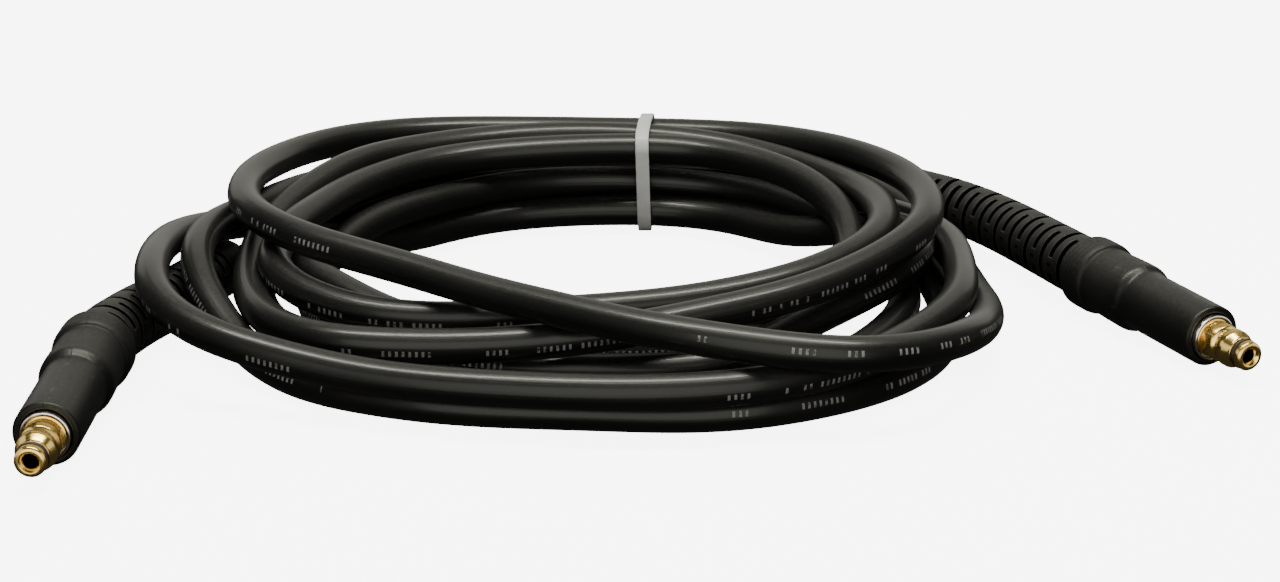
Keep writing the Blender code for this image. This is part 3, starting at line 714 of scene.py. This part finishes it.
def metal_material(name, colour, dull, polished, turned_depth):
    """Turned metal: fine tool rings, a cloudy tarnish, light scratches, and a bore painted near black as
    shade.
    """
    made, tree, shader = new_material(name)
    place = object_place(tree)
    spread = unwrapped(tree)[0]
    tarnish = ramp(tree, mottle(tree, place, 150.0, 4000.0)[0], 0.45, 0.75)
    bore_shade = add_node(tree, "Attribute", attribute_name="bore_shade").outputs["Fac"]
    # Painted shade: the bore is coloured near black
    base = mix_colour(tree, bore_shade, mix_colour(tree, tarnish, colour, dull), (0.012, 0.007, 0.003))
    scratches = scuffs(tree, spread, (900.0, 9.0, 1.0), 1.0)
    tool = noise(tree, stretched(tree, spread, (5200.0, 3.0, 1.0)), 1.0)
    set_inputs(tree, shader, (("Base Color", base), ("Metallic", 1.0),
                              ("Roughness", weighted(tree, polished, (tarnish, 0.12), (scratches, 0.2))),
                              ("Normal", emboss(tree, tool, turned_depth, 0.05 * MM))))
    return made


def seal_material():
    made, tree, shader = new_material("seal rubber")
    cloud, grain = mottle(tree, object_place(tree), 400.0, 5000.0)
    base = mix_colour(tree, ramp(tree, cloud, 0.35, 0.7), (0.03, 0.018, 0.012), (0.075, 0.045, 0.025))
    set_inputs(tree, shader, (("Base Color", base), ("Roughness", weighted(tree, 0.32, (grain, 0.2)))))
    return made


def tie_material(colour):
    made, tree, shader = new_material("tie nylon")
    cloud, grain = mottle(tree, object_place(tree), 120.0, 2600.0)
    base = mix_colour(tree, ramp(tree, cloud, 0.3, 0.75), colour, toned(colour, (0.82, 0.82, 0.78)))
    set_inputs(tree, shader, (("Base Color", base), ("Roughness", weighted(tree, 0.3, (grain, 0.18))),
                              ("Normal", emboss(tree, grain, 0.3, 0.08 * MM)), ("Subsurface Weight", 0.35),
                              ("Subsurface Radius", (2 * MM, 2 * MM, 1.8 * MM)), ("Subsurface Scale", 1.0)))
    return made


def finish_piece(obj, surface, node):
    obj.data.materials.clear()
    obj.data.materials.append(surface)
    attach(obj, "root")
    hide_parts(node)


# ---------------- settings

def colour_setting(name, covers, default):
    return bpy.props.FloatVectorProperty(name=name, description="Colour of " + covers, subtype="COLOR",
                                         default=default)


class HoseSizes(bpy.types.PropertyGroup):
    outside: bpy.props.FloatProperty(name="Hose diameter", description="Outside diameter of the hose",
                                     default=HOSE_D, unit="LENGTH", precision=4)
    sides: bpy.props.IntProperty(name="Hose sides", description="Faces round the hose", default=24, min=8)
    turned: bpy.props.IntProperty(name="Turned segments", description="Faces round each turned piece",
                                  default=64, min=16)
    edge: bpy.props.FloatProperty(name="Slot edge", description="Width of the moulded edge round each slot",
                                  default=0.28 * MM, unit="LENGTH", precision=5)


class HoseColours(bpy.types.PropertyGroup):
    hose: colour_setting("Hose", "the hose cover", (0.0045, 0.0045, 0.0042))
    marks: colour_setting("Marks", "the printed ticks", (0.3, 0.3, 0.28))
    guard: colour_setting("Kink guard", "the moulded guards", (0.006, 0.006, 0.0057))
    ferrule: colour_setting("Ferrule", "the plated ferrules", (0.8, 0.78, 0.73))
    brass: colour_setting("Brass", "the nipples", (0.95, 0.66, 0.19))
    nylon: colour_setting("Nylon", "the cable tie", (0.74, 0.74, 0.7))
    floor: colour_setting("Floor", "the floor", (0.93, 0.93, 0.93))


# ---------------- operators

def soft_lamp(name, spot, aim, size, power):
    """A rectangular area light turned towards what it lights."""
    bpy.ops.object.light_add(type="AREA", location=spot)
    lamp = bpy.context.object
    lamp.name = name
    lamp.data.shape = "RECTANGLE"
    lamp.data.size, lamp.data.size_y = size
    lamp.data.energy = power
    lamp.rotation_euler = (Vector(aim) - Vector(spot)).to_track_quat("-Z", "Y").to_euler()
    return lamp


class HOSE_OT_stage(bpy.types.Operator):
    """Camera, floor and studio lights"""
    bl_idname = "hose.stage"
    bl_label = "Stage"

    def execute(self, context):
        back = Vector((0, -math.cos(CAMERA_PITCH), math.sin(CAMERA_PITCH)))
        bpy.ops.object.camera_add(location=Vector(FRAME_SHIFT) + CAMERA_DISTANCE * back,
                                  rotation=(math.pi / 2 - CAMERA_PITCH, 0, 0))
        camera = context.object
        camera.data.sensor_fit = "HORIZONTAL"
        camera.data.sensor_width = SENSOR_WIDTH
        camera.data.lens = CAMERA_LENS
        camera.data.clip_start = 0.05
        context.scene.camera = camera
        deselect()
        bpy.ops.mesh.primitive_plane_add(size=9.0, location=(0, 0, CAD_BOX[0][2] - 0.0002))
        floor = context.object
        floor.name = "floor"
        bpy.ops.object.transform_apply()
        made, tree, shader = new_material("pale floor")
        colour = context.scene.hose_colours.floor
        set_inputs(tree, shader, (("Base Color", (*colour, 1)), ("Roughness", 0.6),
                                  ("Specular IOR Level", 0.2), ("Emission Color", (1, 1, 1, 1)),
                                  ("Emission Strength", FLOOR_GLOW)))
        floor.visible_glossy = floor.visible_diffuse = False
        floor.data.materials.append(made)
        for name, spot, size, power, colour in LAMPS:
            soft_lamp(name, spot, (0, 0, 0), size, power).data.color = colour
        world = bpy.data.worlds.new("studio")
        world.use_nodes = True
        set_inputs(world.node_tree, world.node_tree.nodes["Background"],
                   (("Color", (1, 1, 1, 1)), ("Strength", WORLD_GLOW)))
        context.scene.world = world
        return {"FINISHED"}


class HOSE_OT_hose(bpy.types.Operator):
    """The hose as one tube along its line, hollow as deep as the nipple tails reach"""
    bl_idname = "hose.hose"
    bl_label = "Hose"

    def execute(self, context):
        sizes = context.scene.hose_sizes
        line = spline(LINE, RING_STEP)
        along = arc_length(line)
        ahead = np.gradient(line, axis=0)
        ahead /= np.linalg.norm(ahead, axis=1)[:, None]
        outer = np.cross((0, 0, 1), ahead)
        outer /= np.linalg.norm(outer, axis=1)[:, None]
        up = np.cross(ahead, outer)
        bore_rings = int((NIPPLE_LENGTH + 4 * MM - HOSE_START) / RING_STEP)
        order = list(range(bore_rings, -1, -1)) + list(range(len(line)))
        order += list(range(len(line) - 1, len(line) - 2 - bore_rings, -1))
        radii = [HOSE_BORE / 2] * (bore_rings + 1) + [sizes.outside / 2] * len(line)
        radii += [HOSE_BORE / 2] * (bore_rings + 1)
        sides = sizes.sides
        spokes = [(math.cos(math.tau * k / sides), math.sin(math.tau * k / sides)) for k in range(sides)]
        verts = [tuple(line[i] + radius * (outer[i] * c + up[i] * s))
                 for i, radius in zip(order, radii) for c, s in spokes]
        faces = [(a + k, a + sides + k, a + sides + (k + 1) % sides, a + (k + 1) % sides)
                 for a in range(0, len(verts) - sides, sides) for k in range(sides)]
        faces += [tuple(range(sides)), tuple(range(len(verts) - 1, len(verts) - 1 - sides, -1))]
        mesh = bpy.data.meshes.new("rubber_hose")
        mesh.from_pydata(verts, [], faces)
        obj = bpy.data.objects.new("rubber_hose", mesh)
        context.scene.collection.objects.link(obj)
        # Where the printed line lies round the hose, as a share of a turn from the outer side
        twist = 0.49 + 0.05 * np.sin(along * 2.1 + 0.6)
        layer = mesh.uv_layers.new(name="along")
        for face in mesh.polygons:
            corners = [mesh.loops[c].vertex_index for c in face.loop_indices]
            places = [c % sides for c in corners]
            wraps = max(places) == sides - 1 and min(places) == 0
            for corner, vert in zip(face.loop_indices, corners):
                index = order[vert // sides]
                turn = (vert % sides) / sides
                if wraps and len(corners) == 4 and vert % sides == 0:
                    turn += 1.0
                layer.data[corner].uv = (along[index], turn + twist[index])
        choose(obj)
        bpy.ops.object.mode_set(mode="EDIT")
        bpy.ops.mesh.select_all(action="SELECT")
        bpy.ops.mesh.normals_make_consistent(inside=False)
        bpy.ops.object.mode_set(mode="OBJECT")
        bpy.ops.object.shade_smooth_by_angle(angle=math.radians(50))
        colours = context.scene.hose_colours
        finish_piece(obj, hose_material(colours.hose, colours.marks), "hose")
        return {"FINISHED"}


class HOSE_OT_guards(bpy.types.Operator):
    """Moulded kink guards with staggered slots, bent along the hose"""
    bl_idname = "hose.guards"
    bl_label = "Kink guards"

    def profile(self):
        inner = HOSE_D / 2 + BORE_EASE
        sleeve = FERRULE_R + GAP
        edges = []
        for row in range(SLOT_ROWS):
            middle = FIRST_SLOT + row * SLOT_PITCH
            edges += [middle - SLOT_WIDTH / 2, middle + SLOT_WIDTH / 2]
        outside = stepped((GRIP_START, dx, GRIP_R, dr) for dx, dr in (
            (0, -0.75), (0.2, -0.3), (0.6, -0.05), (1.2, 0)))
        outside += [(s * MM, GRIP_R) for s in (30, 38, 46, 54)]
        outside += [(s * MM, r * MM) for s, r in (
            (55.2, 9.9), (55.9, 10.02), (56.5, 10.35), (57.2, 10.9), (57.9, 11.28), (58.9, 11.46),
            (60.5, 11.5), (63.5, 11.46), (67.0, 11.38), (70.5, 11.26), (74.0, 11.1), (76.6, 11.0),
            (77.2, 11.1), (77.5, 11.6), (77.9, 12.0), (78.5, 12.2), (79.2, 12.3))]
        for k in range(BULGE_RINGS):
            ring = RING_FIRST + RING_PITCH * k
            outside += [(ring - RING_HALF, BULGE_R), (ring, BULGE_R - RING_DEPTH),
                        (ring + RING_HALF, BULGE_R)]
        outside += [(s * MM, r * MM) for s, r in (
            (87.2, 12.15), (87.8, 11.7), (88.3, 11.1), (88.8, 10.6), (89.3, 10.34), (89.9, 10.3))]
        outside += [(s, rib_radius(s)) for s in edges]
        outside += stepped((GUARD_END, dx, RIB_END_R, dr) for dx, dr in (
            (-2.2, 0), (-1.1, -0.25), (-0.35, -0.8), (0, -1.5)))
        depth = FERRULE_END + GAP - GUARD_END
        inside = [(GUARD_END + depth * k / 16, inner) for k in range(17)]
        inside += [(FERRULE_END + GAP, sleeve), (GRIP_START + 0.4 * MM, sleeve),
                   (GRIP_START, sleeve + 0.35 * MM)]
        return outside + inside, edges

    def execute(self, context):
        sizes = context.scene.hose_sizes
        surface = guard_material(context.scene.hose_colours.guard)
        profile, edges = self.profile()
        for side, run in (("left", LINE), ("right", LINE[::-1])):
            obj = turn_rings("moulded_guard_" + side, profile, sizes.turned)
            self.sink_slots(obj, edges)
            soften(obj, sizes.edge, 2, 38)
            apply_all(obj)
            wrap_map(obj)
            self.bend(obj, guard_path(run, side))
            smooth(obj, 50)
            finish_piece(obj, surface, "kink_guard_" + side)
        return {"FINISHED"}

    def sink_slots(self, obj, edges):
        """Selects the faces of each slot and pushes them in towards the axis."""
        for row in range(SLOT_ROWS):
            low, high = edges[2 * row], edges[2 * row + 1]
            for half in range(2):
                centre = math.pi / 2 * (row % 2) + math.pi * half

                def in_slot(face):
                    here = math.atan2(face.center.z, face.center.y) - centre
                    here = (here + math.pi) % math.tau - math.pi
                    level = math.hypot(face.center.y, face.center.z)
                    return (low < face.center.x < high and abs(here) < SLOT_SWEEP / 2
                            and level > SLOT_FLOOR_R + 0.5 * MM)

                pick_faces(obj, in_slot)
                bpy.ops.mesh.extrude_region_move()
                ratio = SLOT_FLOOR_R / rib_radius((low + high) / 2)
                bpy.ops.transform.resize(value=(1, ratio, ratio),
                                         center_override=((low + high) / 2, 0, 0))
                bpy.ops.mesh.select_all(action="DESELECT")
                bpy.ops.object.mode_set(mode="OBJECT")

    def bend(self, obj, path):
        curve = bpy.data.curves.new("bend_guide", "CURVE")
        curve.dimensions = "3D"
        curve.twist_mode = "MINIMUM"
        curve.use_path = True
        run = curve.splines.new("POLY")
        run.points.add(len(path) - 1)
        for point, spot in zip(run.points, path):
            point.co = (*spot, 1)
        guide = bpy.data.objects.new("bend_guide", curve)
        bpy.context.scene.collection.objects.link(guide)
        bend = obj.modifiers.new("bend", "CURVE")
        bend.object = guide
        bend.deform_axis = "POS_X"
        apply_all(obj)
        bpy.data.objects.remove(guide, do_unlink=True)
        bpy.data.curves.remove(curve)


class HOSE_OT_ferrules(bpy.types.Operator):
    """Plated crimp ferrules seen in the mouths of the guards"""
    bl_idname = "hose.ferrules"
    bl_label = "Ferrules"

    def execute(self, context):
        colour = context.scene.hose_colours.ferrule
        surface = metal_material("ferrule plating", colour, (0.6, 0.57, 0.5), 0.16, 0.25)
        inner = HOSE_D / 2 + GAP + 0.05 * MM
        mouth = FLANGE_R + GAP
        profile = stepped((
            (FERRULE_START, 0.55, mouth, 0), (NIPPLE_SHOWN, 1.4, mouth, 0), (NIPPLE_SHOWN, 1.4, inner, 0),
            (FERRULE_END, 0, inner, 0), (FERRULE_END, 0, FERRULE_R, -0.5), (FERRULE_END, -0.5, FERRULE_R, 0),
            (FERRULE_START, 0.4, FERRULE_R, 0), (FERRULE_START, 0.12, FERRULE_R, -0.1),
            (FERRULE_START, 0, FERRULE_R, -0.35), (FERRULE_START, 0.1, mouth, 0.25),
            (FERRULE_START, 0.3, mouth, 0.08)))
        for side in ENDS:
            obj = turn_rings("crimp_ferrule_" + side, profile, context.scene.hose_sizes.turned)
            wrap_map(obj)
            place_on_axis(obj, side)
            smooth(obj, 40)
            finish_piece(obj, surface, "ferrule_" + side)
        return {"FINISHED"}


class HOSE_OT_nipples(bpy.types.Operator):
    """Brass push-in nipples turned from bar"""
    bl_idname = "hose.nipples"
    bl_label = "Nipples"

    def profile(self):
        shown = NIPPLE_SHOWN
        points = stepped((
            (0, 1.3, NIPPLE_BORE_R, 0), (0, 10, NIPPLE_BORE_R, 0), (shown, 0, NIPPLE_BORE_R, 0),
            (shown, 1.0, TAIL_BORE_R, 0), (NIPPLE_LENGTH, 0, TAIL_BORE_R, 0), (NIPPLE_LENGTH, 0, TAIL_R, 0)))
        for ridge in range(5):
            x = NIPPLE_LENGTH - (5 + 5.5 * ridge) * MM
            points += [(x, TAIL_R), (x - 0.1 * MM, TAIL_R - 0.25 * MM)]
        return points + stepped((
            (shown, 1.0, TAIL_R, 0), (shown, 1.0, FLANGE_R, -0.1), (shown, 0.9, FLANGE_R, 0),
            (shown, -0.45, FLANGE_R, 0), (shown, -0.6, FLANGE_R, -0.12), (shown, -0.75, FLATS_R, -0.35),
            (shown, -1.05, FLATS_R, -0.35), (shown, -1.2, FLATS_R, 0),
            (0, 12.9, FLATS_R, 0), (0, 12.5, FLATS_R, -0.25), (0, 12.2, NECK_R, 0.35),
            (0, 11.9, NECK_R, 0.05), (0, 11.5, NECK_R, 0), (0, 11.0, NECK_R, 0.1), (0, 10.6, NECK_R, 0.5),
            (0, 10.2, BARREL_R, -0.25), (0, 9.8, BARREL_R, 0), (0, 7.7, BARREL_R, 0),
            (0, 7.2, BARREL_R, -0.12), (0, 5.5, TIP_R, 0.12),
            (0, 5.1, TIP_R, 0), (0, 4.75, TIP_R, 0), (0, 4.6, TIP_R, -0.12), (0, 4.6, SEAL_SEAT_R, 0),
            (0, 2.5, SEAL_SEAT_R, 0), (0, 2.5, TIP_R, -0.12), (0, 2.35, TIP_R, 0), (0, 1.3, TIP_R, 0),
            (0, 0.8, TIP_R, -0.08), (0, 0.4, TIP_R, -0.28), (0, 0.12, TIP_R, -0.6), (0, 0, TIP_R, -1.0),
            (0, 0, MOUTH_R, 0.15), (0, 0.15, MOUTH_R, -0.05), (0, 1.1, NIPPLE_BORE_R, 0.06)))

    def execute(self, context):
        colour = context.scene.hose_colours.brass
        surface = metal_material("turned brass", colour, (0.66, 0.41, 0.11), 0.22, 0.2)
        for side in ENDS:
            obj = turn_rings("brass_nipple_" + side, self.profile(), context.scene.hose_sizes.turned)
            self.mill_flats(obj)
            wrap_map(obj)
            # Marks the bore, which the metal material paints near black as shade
            bore_shade = obj.data.attributes.new("bore_shade", "FLOAT", "POINT")
            for vert in obj.data.vertices:
                bore_shade.data[vert.index].value = math.hypot(vert.co.y, vert.co.z) < NIPPLE_BORE_R + 0.03 * MM
            place_on_axis(obj, side)
            smooth(obj, 32)
            finish_piece(obj, surface, "nipple_" + side)
        return {"FINISHED"}

    def mill_flats(self, obj):
        for hand in (1, -1):
            deselect()
            across = hand * (FLATS_HALF + FLATS_MILL[1] / 2)
            bpy.ops.mesh.primitive_cube_add(size=1, location=(FLATS_STATION, across, 0), scale=FLATS_MILL)
            mill = bpy.context.object
            cut = obj.modifiers.new("flat", "BOOLEAN")
            cut.operation = "DIFFERENCE"
            cut.solver = "EXACT"
            cut.object = mill
            apply_all(obj)
            bpy.data.objects.remove(mill, do_unlink=True)
        soften(obj, 0.1 * MM, 2, 34)
        apply_all(obj)


class HOSE_OT_seals(bpy.types.Operator):
    """Round seal rings in the grooves of the nipples"""
    bl_idname = "hose.seals"
    bl_label = "Seal rings"

    def execute(self, context):
        surface = seal_material()
        for side in ENDS:
            deselect()
            bpy.ops.mesh.primitive_torus_add(
                major_segments=context.scene.hose_sizes.turned, minor_segments=20,
                major_radius=SEAL_SEAT_R + GAP + SEAL_WIRE_R, minor_radius=SEAL_WIRE_R,
                location=(SEAL_CENTRE, 0, 0), rotation=(0, math.pi / 2, 0))
            obj = context.object
            obj.name = obj.data.name = "rubber_seal_" + side
            bpy.ops.object.transform_apply()
            bpy.ops.object.mode_set(mode="EDIT")
            bpy.ops.mesh.select_all(action="SELECT")
            bpy.ops.transform.resize(value=(0.97, 1, 1), center_override=(SEAL_CENTRE, 0, 0))
            bpy.ops.object.mode_set(mode="OBJECT")
            place_on_axis(obj, side)
            bpy.ops.object.shade_smooth()
            finish_piece(obj, surface, "seal_ring_" + side)
        return {"FINISHED"}


class HOSE_OT_tie(bpy.types.Operator):
    """Cable tie drawn round the bundle at the back"""
    bl_idname = "hose.tie"
    bl_label = "Cable tie"

    def outline(self):
        """Corners of the smallest convex outline round the hose sections at the tie."""
        reach = (HOSE_D / 2 + GAP + TIE_THICK / 2) * TIE_EASE
        points = sparse(LINE)
        crossing = [(a + (b - a) * (x - a[0]) / (b[0] - a[0]))
                    for x in (TIE_X - TIE_WIDTH / 2, TIE_X, TIE_X + TIE_WIDTH / 2)
                    for a, b in zip(points, points[1:])
                    if (a[0] - x) * (b[0] - x) < 0 and a[1] > FRAME_SHIFT[1]]
        turns = [k * math.pi / 12 for k in range(24)]
        around = sorted((p[1] + reach * math.cos(turn), p[2] + reach * math.sin(turn))
                        for p in crossing for turn in turns)
        corners = []
        for ordered in (around, around[::-1]):
            side = []
            for p in ordered:
                while len(side) > 1 and ((side[-1][0] - side[-2][0]) * (p[1] - side[-2][1])
                                         - (side[-1][1] - side[-2][1]) * (p[0] - side[-2][0])) <= 0:
                    side.pop()
                side.append(p)
            corners += side[:-1]
        return corners

    def execute(self, context):
        corners = self.outline()
        deselect()
        bpy.context.tool_settings.mesh_select_mode = (True, False, False)
        bpy.ops.mesh.primitive_circle_add(vertices=len(corners), radius=0.02, location=(0, 0, 0))
        strap = context.object
        strap.name = strap.data.name = "nylon_tie"
        for vert, (y, z) in zip(strap.data.vertices, corners):
            vert.co = (TIE_X - TIE_WIDTH / 2, y, z)
        bpy.ops.object.mode_set(mode="EDIT")
        bpy.ops.mesh.select_all(action="SELECT")
        bpy.ops.mesh.extrude_region_move(TRANSFORM_OT_translate={"value": (TIE_WIDTH, 0, 0)})
        bpy.ops.mesh.select_all(action="SELECT")
        bpy.ops.mesh.normals_make_consistent(inside=False)
        bpy.ops.object.mode_set(mode="OBJECT")
        band = strap.modifiers.new("band", "SOLIDIFY")
        band.thickness = TIE_THICK
        band.offset = 0
        soften(strap, 0.35 * MM, 3, 60)
        apply_all(strap)
        back = max(y for y, z in corners)
        middle = sum(z for y, z in corners) / len(corners)
        front, top = min(y for y, z in corners), max(z for y, z in corners)
        for vert in strap.data.vertices:
            deep = min(max((vert.co.y - front) / (back - front), 0), 1)
            low = (1 - vert.co.z / top) * (1 - deep)
            vert.co.x += TIE_LEAN_BACK * deep + TIE_LEAN_FRONT * low - 1.0 * MM
        centre = (TIE_X + TIE_HEAD_SHIFT, back + TIE_HEAD[1] / 2 - TIE_THICK / 4, middle)
        deselect()
        bpy.ops.mesh.primitive_cube_add(size=1, location=centre, scale=TIE_HEAD)
        head = context.object
        bpy.ops.object.transform_apply()
        for hand in (1, -1):
            self.dish(head, hand)
        choose(strap)
        head.select_set(True)
        bpy.ops.object.join()
        smooth(strap, 40)
        finish_piece(strap, tie_material(context.scene.hose_colours.nylon), "cable_tie")
        return {"FINISHED"}

    def dish(self, head, hand):
        """Insets and sinks the upper or lower end of the head, where the strap passes through."""
        top = max(face.center.z * hand for face in head.data.polygons)
        pick_faces(head, lambda face: face.center.z * hand > top - 0.1 * MM)
        bpy.ops.mesh.inset(thickness=0.9 * MM)
        bpy.ops.mesh.extrude_region_move(TRANSFORM_OT_translate={"value": (0, 0, -hand * 1.2 * MM)})
        bpy.ops.object.mode_set(mode="OBJECT")
        if hand < 0:
            soften(head, 0.5 * MM, 3, 60)
            apply_all(head)


class HOSE_OT_cards(bpy.types.Operator):
    """White cards round the stage that show only in the metal"""
    bl_idname = "hose.cards"
    bl_label = "Reflector cards"

    def execute(self, context):
        metal = bpy.data.collections.new("metal pieces")
        for name in ("crimp_ferrule_", "brass_nipple_"):
            for side in ENDS:
                metal.objects.link(bpy.data.objects[name + side])
        for name, spot, size, power in CARDS:
            card = soft_lamp(name, spot, (0, -0.1, 0), size, power)
            card.light_linking.receiver_collection = metal
        return {"FINISHED"}


class HOSE_PT_panel(bpy.types.Panel):
    bl_idname = "HOSE_PT_panel"
    bl_label = "Pressure washer hose"
    bl_space_type = "VIEW_3D"
    bl_region_type = "UI"
    bl_category = "Hose"

    def draw(self, context):
        for group in (context.scene.hose_sizes, context.scene.hose_colours):
            box = self.layout.box()
            for key in group.__annotations__:
                box.prop(group, key)
        for operator in OPERATORS:
            self.layout.operator(operator.bl_idname)


OPERATORS = (HOSE_OT_stage, HOSE_OT_hose, HOSE_OT_guards, HOSE_OT_ferrules, HOSE_OT_nipples,
             HOSE_OT_seals, HOSE_OT_tie, HOSE_OT_cards)
CLASSES = (HoseSizes, HoseColours, *OPERATORS, HOSE_PT_panel)
LINE = hose_centreline(HOSE_D)


def register():
    for item in CLASSES:
        bpy.utils.register_class(item)
    bpy.types.Scene.hose_sizes = bpy.props.PointerProperty(type=HoseSizes)
    bpy.types.Scene.hose_colours = bpy.props.PointerProperty(type=HoseColours)


def unregister():
    del bpy.types.Scene.hose_colours
    del bpy.types.Scene.hose_sizes
    for item in reversed(CLASSES):
        bpy.utils.unregister_class(item)


def main():
    register()
    bpy.ops.hose.stage()
    bpy.ops.hose.hose()
    bpy.ops.hose.guards()
    bpy.ops.hose.ferrules()
    bpy.ops.hose.nipples()
    bpy.ops.hose.seals()
    bpy.ops.hose.tie()
    bpy.ops.hose.cards()


if __name__ == "__main__":
    main()
